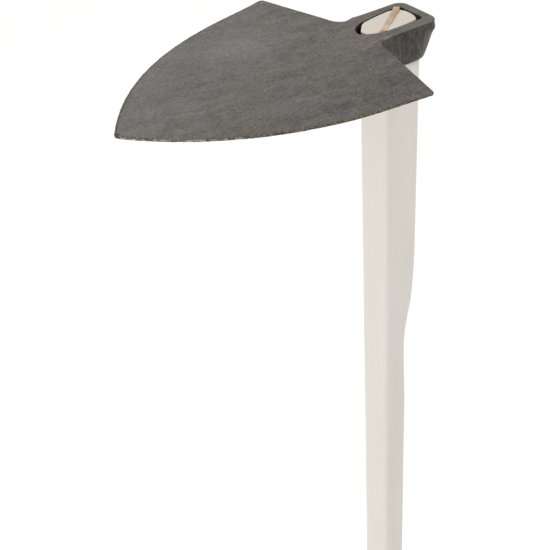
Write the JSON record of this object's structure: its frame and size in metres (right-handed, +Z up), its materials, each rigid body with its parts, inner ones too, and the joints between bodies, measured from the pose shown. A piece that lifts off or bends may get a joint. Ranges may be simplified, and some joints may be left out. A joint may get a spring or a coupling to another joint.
{
  "type": "grub hoe",
  "caption": "Long-handled grub hoe: a forged shield-shaped blade with a tapered eye, hung square on a flat-sided ash handle and locked with a diagonal hardwood wedge.",
  "frame": {"origin": "centre of the flat butt of the handle, which is on the axis of the head's eye", "axes": "+Z up the handle towards the head, -Y the way the blade points, +X across the blade to its left seen from behind the eye"},
  "size_m": [0.1898, 0.2354, 1.3013],
  "materials": {
    "forged_steel": "dark forged scale, brushed on the blade, rough-hammered round the eye",
    "ash_wood": "pale ash, planed and sanded, unvarnished",
    "wedge_wood": "tan hardwood, split with the grain",
    "dried_glue": "amber, dried, slightly glossy"
  },
  "bodies": {
    "root": {"hoe_head": "forged_steel", "handle": "ash_wood", "eye_wedge": "wedge_wood", "glue_bead": "dried_glue"}
  },
  "joints": []
}
